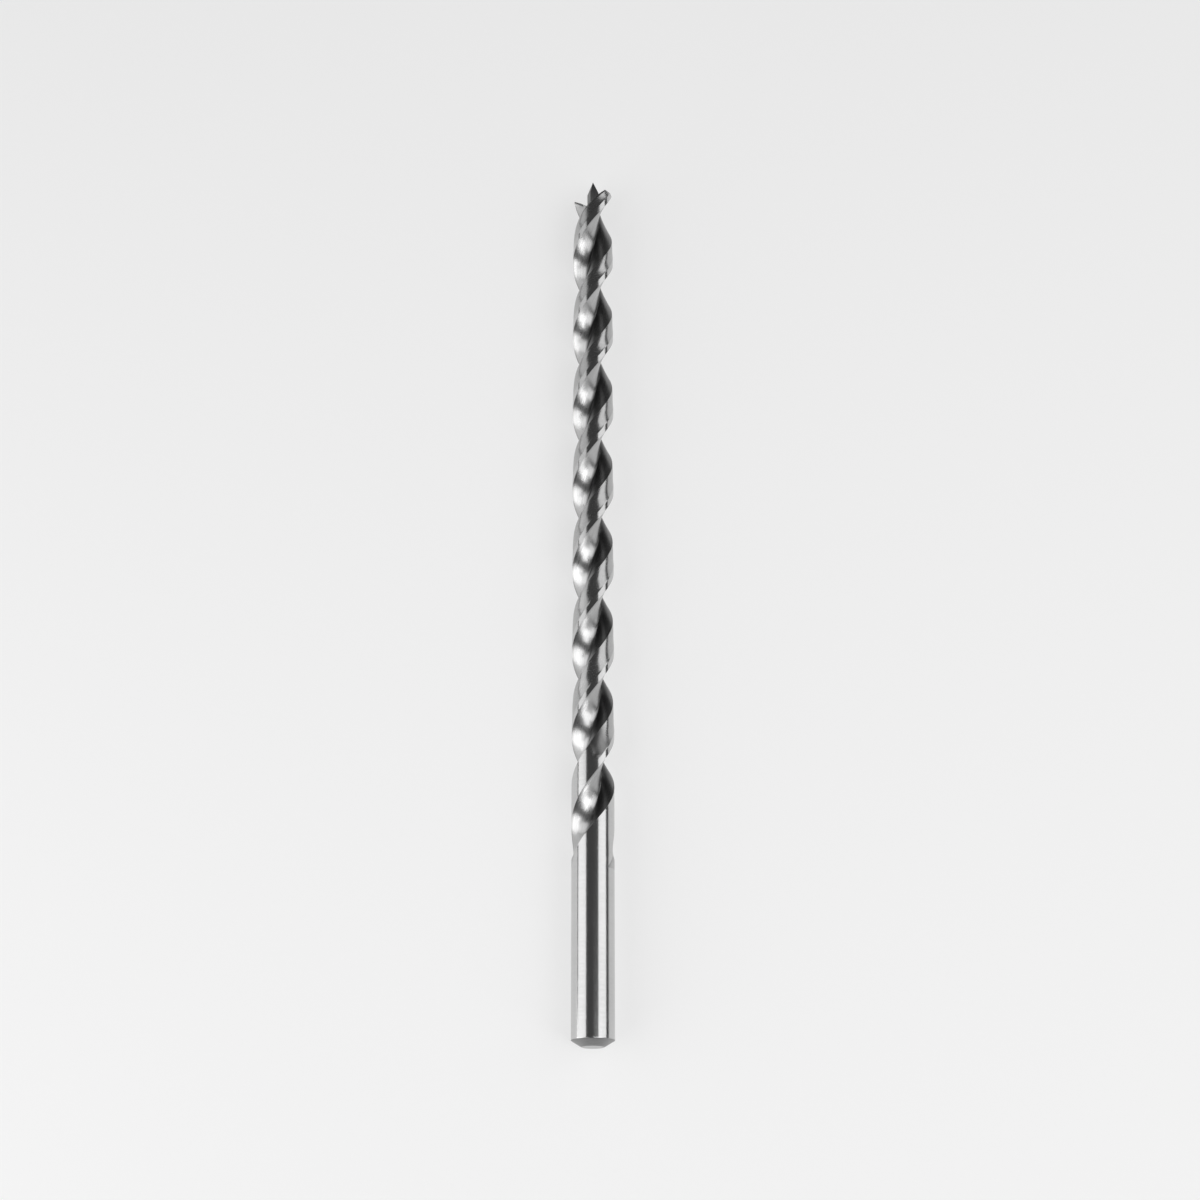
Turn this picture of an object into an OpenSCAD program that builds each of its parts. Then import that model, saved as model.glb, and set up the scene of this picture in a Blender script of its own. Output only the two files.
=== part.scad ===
// Brad point bit: a fluted body with a brad point and two spurs, on a plain chamfered shank.
// Millimetres. The axis is Y: the shank's end face lies in y = 0 and the brad points to +Y.

/* [Bit] */
// Cutting diameter over the margins
bit_d = 7; // [3:0.1:20]
// Length from the shank's end face to the brad's apex
overall_l = 152.4; // [80:0.1:300]
// Length from the brad's apex to where the flutes run out
flute_l = 123.2; // [40:0.1:260]

/* [Flutes] */
// Axial length of one full turn of a flute, right hand
helix_lead = 28.25; // [10:0.05:90]
// Core thickness at the point
web_d = 1.8; // [0.6:0.05:6]
// Outward shift of the flute walls over each 100 mm behind the point
web_gain = 0.53; // [0:0.01:1.5]
// Angle that one flute spans at the point
flute_angle = 127; // [90:1:140]
// Angle from the leading edge to the flute root
root_angle = 57; // [40:1:70]
// Radius of the wall under the cutting face
face_wall_r = 9.2; // [3:0.1:40]
// Radius of the rolled heel wall
heel_wall_r = 2.85; // [1.5:0.05:12]
// Rounding of the flute root
root_blend = 0.45; // [0.1:0.05:1]
// Length over which the flutes rise to the surface
runout_l = 11.3; // [5:0.1:30]
// Direction in which the flutes rise, from the leading edge
runout_angle = 115; // [60:1:130]
// Turn by which the flutes straighten while they rise
runout_turn = 18; // [0:1:40]

/* [Lands] */
// Angle of the full-diameter margin behind the leading edge
margin_angle = 17; // [6:1:25]
// Depth of the body clearance behind the margin
clearance = 0.13; // [0:0.01:0.3]
// Distance from the shank's end face to where the body clearance stops
clearance_end_y = 46.9; // [30:0.1:120]

/* [Point] */
// Height of the brad's pyramid
brad_h = 2.35; // [1:0.05:6]
// Width over the corners of the brad's square base
brad_w = 2.15; // [0.8:0.05:6]
// Turn of the brad's square about the axis
brad_turn = -24; // [-45:1:45]
// Depth of the spur tips below the brad's apex
spur_drop = 2.7; // [1:0.05:8]
// Fall of the lips from the spurs towards the brad
lip_slope = 36; // [0:1:45]
// Fall of the flank behind each lip
flank_slope = 37; // [10:1:50]
// Fall of the short facet in front of each lip
front_slope = 6; // [0:1:40]
// Angle of each lip behind the leading edge
lip_back = 40; // [0:1:45]

/* [Shank] */
// Shank diameter
shank_d = 7; // [3:0.1:20]
// Length from the end face to the weld with the fluted body
shank_l = 28.2; // [10:0.1:80]
// Axial length of the end chamfer
chamfer_l = 1.05; // [0.2:0.05:4]
// Diameter of the flat end face
end_face_d = 3.6; // [1:0.1:12]

/* [Hidden] */
$fn = 96;
// angle of the leading edge at y = 0, from +Z towards +X
phase = -27;
flute_steps = 17;
land_steps = 9;
body_steps = 115;
bit_r = bit_d / 2;
tip_y = overall_l;
runout_y = overall_l - flute_l;

// Section geometry, in the frame that turns with the helix: angle 0 is the leading edge at the point.
function polar(r, a) = [r * sin(a), r * cos(a)];
function wall_centre(p, q, r) =
    let (h = norm(q - p) / 2, n = [q[1] - p[1], p[0] - q[0]] / (2 * h))
    (p + q) / 2 + n * sqrt(max(r * r - h * h, 0.01));
web_r = web_d / 2;
lead_pt = polar(bit_r, 0);
root_pt = polar(web_r, root_angle);
heel_pt = polar(bit_r - clearance, flute_angle);
face_r = max(face_wall_r, norm(root_pt - lead_pt) / 2 + 0.05);
heel_r = max(heel_wall_r, norm(heel_pt - root_pt) / 2 + 0.05);
face_c = wall_centre(lead_pt, root_pt, face_r);
heel_c = wall_centre(root_pt, heel_pt, heel_r);
out_dir = polar(1, flute_angle / 2);

// Distance from the axis to a round wall along the direction a, with the wall moved by w
function reach(c, r, a, w) =
    let (d = polar(1, a), m = c + w, b = d * m)
    b + sqrt(max(b * b + r * r - m * m, 0));
function flute_r(a, w) =
    let (f = reach(face_c, face_r, a, w), h = reach(heel_c, heel_r, a, w))
    (f + h + sqrt((f - h) * (f - h) + root_blend * root_blend)) / 2;

// Movement of the flute walls: slow web growth, then the rise to the surface
lift_y = runout_y + runout_l;
rise_dir = polar(1, runout_angle);
function growth(y) = web_gain * max(tip_y - y, 0) / 100 * out_dir;
function is_clear(l) =
    min([for (a = [root_angle:3:runout_angle + 10]) flute_r(a, growth(runout_y) + l * rise_dir)]) >= bit_r;
function clear_lift(lo, hi, n) =
    n == 0 ? hi
    : let (m = (lo + hi) / 2) is_clear(m) ? clear_lift(lo, m, n - 1) : clear_lift(m, hi, n - 1);
full_lift = clear_lift(0, bit_d, 18);
function rise(y) = pow(max(lift_y - y, 0) / runout_l, 2);
function move(y) = growth(y) + full_lift * rise(y) * rise_dir;

// Angle between lo (outside) and hi (inside the flute) where the flute reaches radius r
function edge(lo, hi, r, w, n) =
    n == 0 ? (lo + hi) / 2
    : let (m = (lo + hi) / 2)
      flute_r(m, w) > r ? edge(m, hi, r, w, n - 1) : edge(lo, m, r, w, n - 1);
least_half = 26;
function mid_angle(y) = root_angle + 4 + (runout_angle - root_angle - 4) * 0.4 * min(rise(y), 1);
function lead_a(y) = min(edge(-40, mid_angle(y), bit_r, move(y), 22), mid_angle(y) - least_half);
function heel_a(y, r) = max(edge(175, mid_angle(y), r, move(y), 22), mid_angle(y) + least_half);

// Share of the body clearance that is left at y: it fades out over one millimetre
function relief(y) = clearance * min(max(y - clearance_end_y, 0), 1);

// One half of the section: leading edge, flute, heel, relieved land, margin
function half_section(y) =
    let (
        w = move(y),
        low = bit_r - relief(y),
        a0 = lead_a(y),
        a1 = heel_a(y, low),
        m = a0 + 180 - margin_angle
    )
    concat(
        [[bit_r, a0]],
        [for (i = [1:flute_steps - 1])
            let (a = a0 + (a1 - a0) * i / flute_steps) [min(flute_r(a, w), bit_r), a]],
        [for (i = [0:land_steps - 3])
            [low, a1 + (m - 1.5 - a1) * i / (land_steps - 2)]],
        [[low, m - 1.5], [bit_r, m]]
    );
function section(y) =
    let (
        h = half_section(y),
        turn = phase + 360 * y / helix_lead + runout_turn * max(lift_y - y, 0) / runout_l
    )
    [for (k = [0, 180]) for (p = h)
        let (a = turn + p[1] + k) [p[0] * sin(a), y, p[0] * cos(a)]];
ring_n = 2 * (flute_steps + land_steps);

// The swept blank of the fluted body, from the weld to just past the brad
module fluted_blank() {
    top_y = tip_y + 0.4;
    first_y = min(runout_y - 0.6, shank_l + 1.2);
    ys = concat(
        [shank_l],
        [for (i = [0:body_steps]) max(first_y, shank_l + 0.4) + (top_y - max(first_y, shank_l + 0.4)) * i / body_steps]
    );
    rows = len(ys);
    points = [for (y = ys) each section(y)];
    sides = [
        for (j = [0:rows - 2]) for (i = [0:ring_n - 1])
            let (
                a = j * ring_n + i,
                b = j * ring_n + (i + 1) % ring_n,
                c = a + ring_n,
                d = b + ring_n
            )
            each [[a, c, b], [b, c, d]]
    ];
    bottom = [[for (i = [0:ring_n - 1]) i]];
    top = [[for (i = [ring_n - 1:-1:0]) (rows - 1) * ring_n + i]];
    polyhedron(points = points, faces = concat(sides, bottom, top), convexity = 12);
}

// Room under one lip: a gable whose ridge is the lip and whose two slopes are flank and front facet
module lip_gable() {
    reach_out = bit_d;
    spur_y = tip_y - spur_drop;
    turn = phase + 360 * spur_y / helix_lead - lip_back;
    ridge = [
        [0, 0],
        [reach_out, -reach_out * tan(front_slope)],
        [reach_out, -overall_l - reach_out],
        [-reach_out, -overall_l - reach_out],
        [-reach_out, -reach_out * tan(flank_slope)]
    ];
    slant = tan(lip_slope);
    rotate([0, turn, 0])
        translate([0, spur_y - bit_r * slant, 0])
            multmatrix([[1, 0, 0, 0], [0, 1, slant, 0], [0, 0, 1, 0]])
                translate([0, 0, -0.01])
                    linear_extrude(height = reach_out)
                        polygon(ridge);
}

// The brad: a square pyramid on a square stem
module brad() {
    rotate([0, brad_turn, 0])
        translate([0, tip_y, 0])
            rotate([90, 90, 0]) {
                cylinder(h = brad_h, r1 = 0, r2 = brad_w / 2, $fn = 4);
                translate([0, 0, brad_h - 0.01])
                    cylinder(h = spur_drop + bit_r, r = brad_w / 2, $fn = 4);
            }
}

// Fluted body: high-speed steel
module fluted_body() {
    color("#8d9093")
        resize([0, 0, 0])
            intersection() {
                fluted_blank();
                union() {
                    lip_gable();
                    rotate([0, 180, 0]) lip_gable();
                    brad();
                }
            }
}

// Shank: plain round steel with a chamfered end
module shank() {
    shank_r = shank_d / 2;
    face_r = min(end_face_d / 2, shank_r - 0.05);
    color("#9b9ea1")
        rotate([-90, 0, 0])
            rotate_extrude()
                polygon([
                    [0, 0],
                    [face_r, 0],
                    [shank_r, chamfer_l],
                    [shank_r, shank_l],
                    [0, shank_l]
                ]);
}

fluted_body();
shank();
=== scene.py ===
"""Brad point bit: finishes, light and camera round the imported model.

Sizes in the classes are in millimetres and meshes are in metres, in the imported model's frame: the
shank's end face lies in y = 0, the brad points to +Y, and the bit lies on a table that is under it
along -Z.
"""

import logging
import math
from dataclasses import dataclass
from enum import Enum, IntEnum

import bmesh
import bpy
import numpy as np
from mathutils import Matrix, Vector

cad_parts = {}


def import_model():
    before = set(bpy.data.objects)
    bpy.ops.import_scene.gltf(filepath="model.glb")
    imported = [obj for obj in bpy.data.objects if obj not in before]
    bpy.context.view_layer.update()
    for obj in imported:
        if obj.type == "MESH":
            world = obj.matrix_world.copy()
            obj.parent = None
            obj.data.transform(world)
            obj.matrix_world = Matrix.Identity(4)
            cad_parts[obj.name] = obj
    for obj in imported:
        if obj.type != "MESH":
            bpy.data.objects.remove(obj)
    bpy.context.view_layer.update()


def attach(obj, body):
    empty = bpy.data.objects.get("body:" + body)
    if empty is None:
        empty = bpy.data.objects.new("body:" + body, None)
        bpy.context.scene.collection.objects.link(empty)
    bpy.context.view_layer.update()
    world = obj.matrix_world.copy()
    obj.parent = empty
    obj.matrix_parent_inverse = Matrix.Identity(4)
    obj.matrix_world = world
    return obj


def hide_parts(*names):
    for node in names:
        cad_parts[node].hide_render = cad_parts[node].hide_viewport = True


LOG = logging.getLogger("brad_point_bit")
MM = 0.001
UM = 0.000001
PHOTO_PX = 1200.0
SENSOR_MM = 36.0
WHITE = "#ffffff"
# Layers in which a mesh carries the lay of its tool marks and its dullness.
LAY_MAP = "lay"
DULL_LAYER = "dullness"
# Least angle between two faces that stays a sharp edge.
SHARP_EDGE = 24.0
# Points nearer than this, in millimetres, are one point.
MERGE_MM = 0.0005
# Length by which a solid laps over its neighbour, or a limit over the place that it is for.
LAP_MM = 0.01
# One round wall of a flute: centre and radius.
Wall = tuple[np.ndarray, float]
# One stretch along the axis: start, end and number of steps.
Span = tuple[float, float, int]


def linear(code: str) -> tuple[float, float, float, float]:
    """Turns an sRGB hex colour into linear red, green, blue and alpha.

    Args:
        code: Colour such as "#c4c4c4".

    Returns:
        Linear values, with an alpha of 1.
    """
    shares = [int(code[i : i + 2], 16) / 255.0 for i in (1, 3, 5)]
    values = [s / 12.92 if s <= 0.04045 else ((s + 0.055) / 1.055) ** 2.4 for s in shares]
    return (values[0], values[1], values[2], 1.0)


def add_node(
    tree: bpy.types.NodeTree,
    kind: str,
    settings: dict[str | int, object] | None = None,
    links: dict[str | int, bpy.types.NodeSocket] | None = None,
) -> bpy.types.Node:
    """Adds one node to a tree, with its settings and its links.

    Args:
        tree: Tree that gets the node.
        kind: Blender's type name of the node.
        settings: Values by attribute name, or by input name or number.
        links: Output sockets by input name or number.

    Returns:
        The new node.
    """
    node = tree.nodes.new(kind)
    for key, value in (settings or {}).items():
        if isinstance(key, str) and hasattr(node, key):
            setattr(node, key, value)
        else:
            node.inputs[key].default_value = value
    for key, socket in (links or {}).items():
        tree.links.new(socket, node.inputs[key])
    return node


class Lay(Enum):
    """Direction of the marks that a tool has left on a steel surface."""

    AROUND = "round the axis"
    ALONG_FLUTE = "along the flute"
    ACROSS_POINT = "across the point"
    FACED = "rings of a facing cut"


class PointCut(Enum):
    """What is left of two solids when the point is cut, by Blender's names."""

    BOTH = "UNION"
    COMMON = "INTERSECT"


class BodyFace(IntEnum):
    """Faces of the fluted body, numbered as its finishes are."""

    FLUTE = 0
    LAND = 1
    POINT = 2


class ShankFace(IntEnum):
    """Faces of the shank, numbered as its finishes are."""

    SIDE = 0
    CHAMFER = 1
    END = 2


# Scale at which the ring texture draws one ring in each unit of length.
ONE_RING = 0.314
# Size of the patches in which wear gathers, in millimetres.
CLOUD_MM = 9.0
# Heights of the noise between which wear, roughness and specks rise from nothing to full.
WEAR_RANGE = (0.12, 0.42)
ROUGH_RANGE = (0.3, 0.75)
SPECK_RANGE = (0.5, 0.75)
# Nicks from handling: spacing in millimetres, squeeze of the pattern along the axis, depth in
# micrometres, and the size of a nick's floor and rim as shares of the spacing.
NICK_MM = 2.6
NICK_SQUEEZE = 0.45
NICK_UM = 6.0
NICK_FLOOR = 0.02
NICK_RIM = 0.1


@dataclass(frozen=True)
class SteelFinish:
    """One finish of a tool steel surface.

    Attributes:
        name: Material name.
        light: sRGB colour of the clean metal.
        dark: sRGB colour where fine marks gather.
        roughness: Roughness of the clean metal.
        swing: How far the roughness rises where marks gather.
        lay: Direction of the marks.
        mark_mm: Distance between marks, across the lay.
        run_mm: Length of a mark, along the lay.
        depth_um: Depth of the marks.
        grain_mm: Size of the fine speckle left by the polishing grit.
        grain_um: Depth of that speckle.
        speckle: How far the roughness rises in the spots of that speckle.
        nicks: Share of small handling nicks, from 0 to 1.
        chattered: How far the roughness rises where the surface is fully dull.
        chatter_tint: sRGB colour of the metal there.
        painted_shades: Painted shade across the flute: pairs of a distance from the cutting
        edge, in mm, and the share of brightness there.
    """

    name: str
    light: str
    dark: str
    roughness: float
    swing: float
    lay: Lay
    mark_mm: float
    run_mm: float
    depth_um: float
    grain_mm: float
    grain_um: float
    speckle: float = 0.05
    nicks: float = 0.0
    chattered: float = 0.0
    chatter_tint: str = WHITE
    painted_shades: tuple[tuple[float, float], ...] = ()

    def _marks(
        self, tree: bpy.types.NodeTree, place: bpy.types.NodeSocket
    ) -> bpy.types.NodeSocket:
        """Draws the marks of the tool as heights from 0 to 1.

        Args:
            tree: Tree of the material.
            place: Place on the piece.

        Returns:
            Output socket with the heights.
        """
        if self.lay is Lay.FACED:
            rings = {
                "wave_type": "RINGS",
                "rings_direction": "Y",
                "Scale": ONE_RING / (self.mark_mm * MM),
                "Distortion": 2.5,
                "Detail": 3.0,
                "Detail Scale": 2.0,
            }
            return add_node(tree, "ShaderNodeTexWave", rings, {"Vector": place}).outputs["Fac"]
        across, along = 1.0 / (self.mark_mm * MM), 1.0 / (self.run_mm * MM)
        scale = (along, across, along)
        if self.lay is Lay.ACROSS_POINT:
            scale = (across, along, along)
        if self.lay is Lay.ALONG_FLUTE:
            place = add_node(tree, "ShaderNodeUVMap", {"uv_map": LAY_MAP}).outputs["UV"]
            scale = (across, along, 1.0)
        scaled = add_node(tree, "ShaderNodeMapping", {"Scale": scale}, {"Vector": place})
        noise = {"Scale": 1.0, "Detail": 3.0, "Roughness": 0.6}
        links = {"Vector": scaled.outputs["Vector"]}
        return add_node(tree, "ShaderNodeTexNoise", noise, links).outputs["Fac"]

    def _painted_flute_shade(
        self, tree: bpy.types.NodeTree, tint: bpy.types.NodeSocket
    ) -> bpy.types.NodeSocket:
        """Paints shade on the flute: a dark cutting edge, the darkest root and a darker far wall.

        Args:
            tree: Tree of the material.
            tint: Colour of the polished wall.

        Returns:
            Output socket with the colour of the whole flute.
        """
        # Painted shade: a ramp across the flute darkens its polished colour.
        lay = add_node(tree, "ShaderNodeUVMap", {"uv_map": LAY_MAP}).outputs["UV"]
        across = add_node(tree, "ShaderNodeSeparateXYZ", None, {"Vector": lay}).outputs["X"]
        width = self.painted_shades[-1][0] * MM
        limits = {"From Min": 0.0, "From Max": width}
        place = add_node(tree, "ShaderNodeMapRange", limits, {"Value": across}).outputs[0]
        ramp = add_node(tree, "ShaderNodeValToRGB", None, {"Fac": place})
        stops = ramp.color_ramp.elements
        ready = len(stops)
        for number, (distance, shade) in enumerate(self.painted_shades):
            stop = stops[number] if number < ready else stops.new(1.0)
            stop.position = distance * MM / width
            stop.color = (shade, shade, shade, 1.0)
        mix = {"data_type": "RGBA", "blend_type": "MULTIPLY", 0: 1.0}
        links = {6: tint, 7: ramp.outputs["Color"]}
        return add_node(tree, "ShaderNodeMix", mix, links).outputs[2]

    def _tint(
        self,
        tree: bpy.types.NodeTree,
        place: bpy.types.NodeSocket,
        marks: bpy.types.NodeSocket,
    ) -> bpy.types.NodeSocket:
        """Colours the metal: darker where marks gather in worn patches; painted shade in the flute.

        Args:
            tree: Tree of the material.
            place: Place on the piece.
            marks: Heights of the marks.

        Returns:
            Output socket with the colour.
        """
        cloud = {"Scale": 1.0 / (CLOUD_MM * MM), "Detail": 3.0, "Roughness": 0.55}
        clouds = add_node(tree, "ShaderNodeTexNoise", cloud, {"Vector": place}).outputs["Fac"]
        product = {"operation": "MULTIPLY"}
        gathered = add_node(tree, "ShaderNodeMath", product, {0: marks, 1: clouds}).outputs[0]
        limits = {"From Min": WEAR_RANGE[0], "From Max": WEAR_RANGE[1]}
        wear = add_node(tree, "ShaderNodeMapRange", limits, {"Value": gathered}).outputs[0]
        colours = {"data_type": "RGBA", 6: linear(self.light), 7: linear(self.dark)}
        tint = add_node(tree, "ShaderNodeMix", colours, {0: wear}).outputs[2]
        return self._painted_flute_shade(tree, tint) if self.painted_shades else tint

    def _rough(
        self,
        tree: bpy.types.NodeTree,
        marks: bpy.types.NodeSocket,
        grain: bpy.types.NodeSocket,
    ) -> bpy.types.NodeSocket:
        """Works out the roughness: higher in the marks and in the spots of the speckle.

        Args:
            tree: Tree of the material.
            marks: Heights of the marks.
            grain: Heights of the speckle.

        Returns:
            Output socket with the roughness.
        """
        limits = {
            "From Min": ROUGH_RANGE[0],
            "From Max": ROUGH_RANGE[1],
            "To Min": self.roughness,
            "To Max": self.roughness + self.swing,
        }
        marked = add_node(tree, "ShaderNodeMapRange", limits, {"Value": marks}).outputs[0]
        limits = {
            "From Min": SPECK_RANGE[0],
            "From Max": SPECK_RANGE[1],
            "To Min": 0.0,
            "To Max": self.speckle,
        }
        specks = add_node(tree, "ShaderNodeMapRange", limits, {"Value": grain}).outputs[0]
        total = {"operation": "ADD"}
        return add_node(tree, "ShaderNodeMath", total, {0: marked, 1: specks}).outputs[0]

    def _pits(
        self, tree: bpy.types.NodeTree, place: bpy.types.NodeSocket
    ) -> bpy.types.NodeSocket:
        """Draws the nicks as heights: 0 on a nick's floor and 1 on the surface.

        Args:
            tree: Tree of the material.
            place: Place on the piece.

        Returns:
            Output socket with the heights.
        """
        squeeze = {"Scale": (1.0, NICK_SQUEEZE, 1.0)}
        squeezed = add_node(tree, "ShaderNodeMapping", squeeze, {"Vector": place})
        cells = {"Scale": 1.0 / (NICK_MM * MM), "feature": "F1", "Randomness": 1.0}
        links = {"Vector": squeezed.outputs["Vector"]}
        spots = add_node(tree, "ShaderNodeTexVoronoi", cells, links).outputs["Distance"]
        limits = {"From Min": NICK_FLOOR, "From Max": NICK_FLOOR + NICK_RIM * self.nicks}
        return add_node(tree, "ShaderNodeMapRange", limits, {"Value": spots}).outputs[0]

    def material(self) -> bpy.types.Material:
        """Makes the material: bright metal, its tool marks, grit speckle and nicks.

        Returns:
            The new material.
        """
        material = bpy.data.materials.new(self.name)
        material.use_nodes = True
        tree = material.node_tree
        tree.nodes.clear()
        place = add_node(tree, "ShaderNodeTexCoord").outputs["Object"]
        marks = self._marks(tree, place)
        grit = {"Scale": 1.0 / (self.grain_mm * MM), "Detail": 2.0, "Roughness": 0.7}
        grain = add_node(tree, "ShaderNodeTexNoise", grit, {"Vector": place}).outputs["Fac"]
        tint = self._tint(tree, place, marks)
        rough = self._rough(tree, marks, grain)
        if self.chattered > 0.0:
            layer = {"attribute_name": DULL_LAYER}
            dull = add_node(tree, "ShaderNodeAttribute", layer).outputs["Fac"]
            rise = {"operation": "MULTIPLY_ADD", 1: self.chattered}
            rough = add_node(tree, "ShaderNodeMath", rise, {0: dull, 2: rough}).outputs[0]
            colours = {"data_type": "RGBA", 7: linear(self.chatter_tint)}
            tint = add_node(tree, "ShaderNodeMix", colours, {0: dull, 6: tint}).outputs[2]
        reliefs = [(self.grain_um, grain), (self.depth_um, marks)]
        if self.nicks > 0.0:
            reliefs.append((NICK_UM, self._pits(tree, place)))
        bumped: dict[str | int, bpy.types.NodeSocket] = {}
        for depth, heights in reliefs:
            bumped["Height"] = heights
            bump = {"Strength": 1.0, "Distance": depth * UM}
            bumped["Normal"] = add_node(tree, "ShaderNodeBump", bump, bumped).outputs["Normal"]
        shader = add_node(
            tree,
            "ShaderNodeBsdfPrincipled",
            {"Metallic": 1.0},
            {"Base Color": tint, "Roughness": rough, "Normal": bumped["Normal"]},
        )
        add_node(tree, "ShaderNodeOutputMaterial", None, {"Surface": shader.outputs["BSDF"]})
        return material


# Cylindrically ground tool steel: mirror-like, with fine rings round the axis. The rings are a few
# hundredths of a millimetre apart, and are drawn ten times as coarse so that they show.
GROUND_ROUND = SteelFinish(
    name="ground_tool_steel",
    light="#c8c8c8",
    dark="#c0c0c0",
    roughness=0.14,
    swing=0.03,
    lay=Lay.AROUND,
    mark_mm=0.3,
    run_mm=3.0,
    depth_um=0.1,
    grain_mm=0.18,
    grain_um=2.6,
    speckle=0.10,
    nicks=0.05,
    chattered=0.2,
    chatter_tint="#808080",
)
# Flute-ground and polished high-speed steel: soft reflections, drawn out along the flute by the
# wheel, and painted shade: a dark line at the cutting edge, darkest at the root, darker on the far
# wall. The wheel's marks are finer than they are drawn here, so that they show.
GROUND_FLUTE = SteelFinish(
    name="polished_flute_steel",
    light="#c0c0c0",
    dark="#aaaaaa",
    roughness=0.25,
    swing=0.09,
    lay=Lay.ALONG_FLUTE,
    mark_mm=0.24,
    run_mm=7.0,
    depth_um=3.0,
    grain_mm=0.35,
    grain_um=1.0,
    # Painted shade: shares of brightness across the flute, from the cutting edge to the far wall.
    painted_shades=(
        (0.0, 0.72),
        (0.4, 1.0),
        (2.35, 1.0),
        (2.8, 0.17),
        (3.4, 0.17),
        (4.4, 0.42),
        (6.0, 0.42),
    ),
    # Towards the rim of each spur the flute's faces turn darker and rougher, by the dullness layer.
    chattered=0.1,
    chatter_tint="#3c3c3c",
)
# Point-ground high-speed steel: dark flat facets with straight marks of a coarse wheel.
GROUND_POINT = SteelFinish(
    name="point_ground_steel",
    light="#7c7c7c",
    dark="#585858",
    roughness=0.34,
    swing=0.12,
    lay=Lay.ACROSS_POINT,
    mark_mm=0.14,
    run_mm=2.5,
    depth_um=2.0,
    grain_mm=0.2,
    grain_um=1.5,
)
# Turned tool steel, left as it came from the lathe: mid grey, with fine rings of the tool, which are
# drawn a little coarser than they are, so that they show.
TURNED_CHAMFER = SteelFinish(
    name="turned_chamfer_steel",
    light="#a4a4a4",
    dark="#565656",
    roughness=0.28,
    swing=0.12,
    lay=Lay.FACED,
    mark_mm=0.14,
    run_mm=1.0,
    depth_um=2.0,
    grain_mm=0.5,
    grain_um=9.0,
)
# Faced tool steel: as the chamfer, cut off a little brighter.
FACED_END = SteelFinish(
    name="faced_end_steel",
    light="#cccccc",
    dark="#a1a1a1",
    roughness=0.30,
    swing=0.14,
    lay=Lay.FACED,
    mark_mm=0.16,
    run_mm=1.0,
    depth_um=3.0,
    grain_mm=0.4,
    grain_um=5.0,
)


def new_piece(
    name: str, mesh: bpy.types.Mesh, materials: list[bpy.types.Material]
) -> bpy.types.Object:
    """Puts a mesh into the scene as a piece with its materials.

    Args:
        name: Name of the piece.
        mesh: Finished mesh, in metres.
        materials: Materials in the order of the faces' material numbers.

    Returns:
        The new object.
    """
    for material in materials:
        mesh.materials.append(material)
    piece = bpy.data.objects.new(name, mesh)
    bpy.context.scene.collection.objects.link(piece)
    return piece


def mesh_from(name: str, bm: bmesh.types.BMesh) -> bpy.types.Mesh:
    """Writes a bmesh to a new mesh and frees it.

    Args:
        name: Name of the mesh.
        bm: The bmesh, which isn't used afterwards.

    Returns:
        The new mesh.
    """
    mesh = bpy.data.meshes.new(name)
    bm.to_mesh(mesh)
    bm.free()
    return mesh


def crease(bm: bmesh.types.BMesh) -> None:
    """Shades all faces smooth and keeps sharp edges sharp.

    Args:
        bm: The bmesh to shade.
    """
    limit = math.radians(SHARP_EDGE)
    for face in bm.faces:
        face.smooth = True
    for edge in bm.edges:
        edge.smooth = len(edge.link_faces) == 2 and edge.calc_face_angle(0.0) < limit


@dataclass(frozen=True)
class HalfSection:
    """Half of the fluted body's cross-section, from one leading edge round to the next.

    Attributes:
        radii: Distances from the axis.
        angles: Angles about the axis, in degrees.
        lengths: Lengths along the outline, in which the root stays at one place.
        dullness: Shares of dullness.
    """

    radii: np.ndarray
    angles: np.ndarray
    lengths: np.ndarray
    dullness: np.ndarray


# Halvings in the searches for the lift of the run-out and for the edges of a flute.
LIFT_HALVINGS = 18
EDGE_HALVINGS = 24
# Angles at which a lifted flute is looked at: step, and reach past the run-out's direction.
LIFT_STEP = 3.0
LIFT_REACH = 10.0
# Angles on the lands, from the leading edge at the point, where the search for the edges starts.
LAND_AHEAD = -40.0
LAND_BEHIND = 175.0
# Long waves that the wheel has left on the lands: strength, turns over the land, turns per mm.
LAND_WAVES = ((1.0, 1.2, 0.075), (0.6, 0.5, 0.53))
# Sections are kept by their place along the axis, in thousandths of a millimetre.
KEYS_PER_MM = 1000.0
# Faces that lie as near as this to a seam, in millimetres, are caps on it.
SEAM_GAP_MM = 0.0001
# Depth of the rooms that the point is cut with.
ROOM_DEPTH = 30.0


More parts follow.
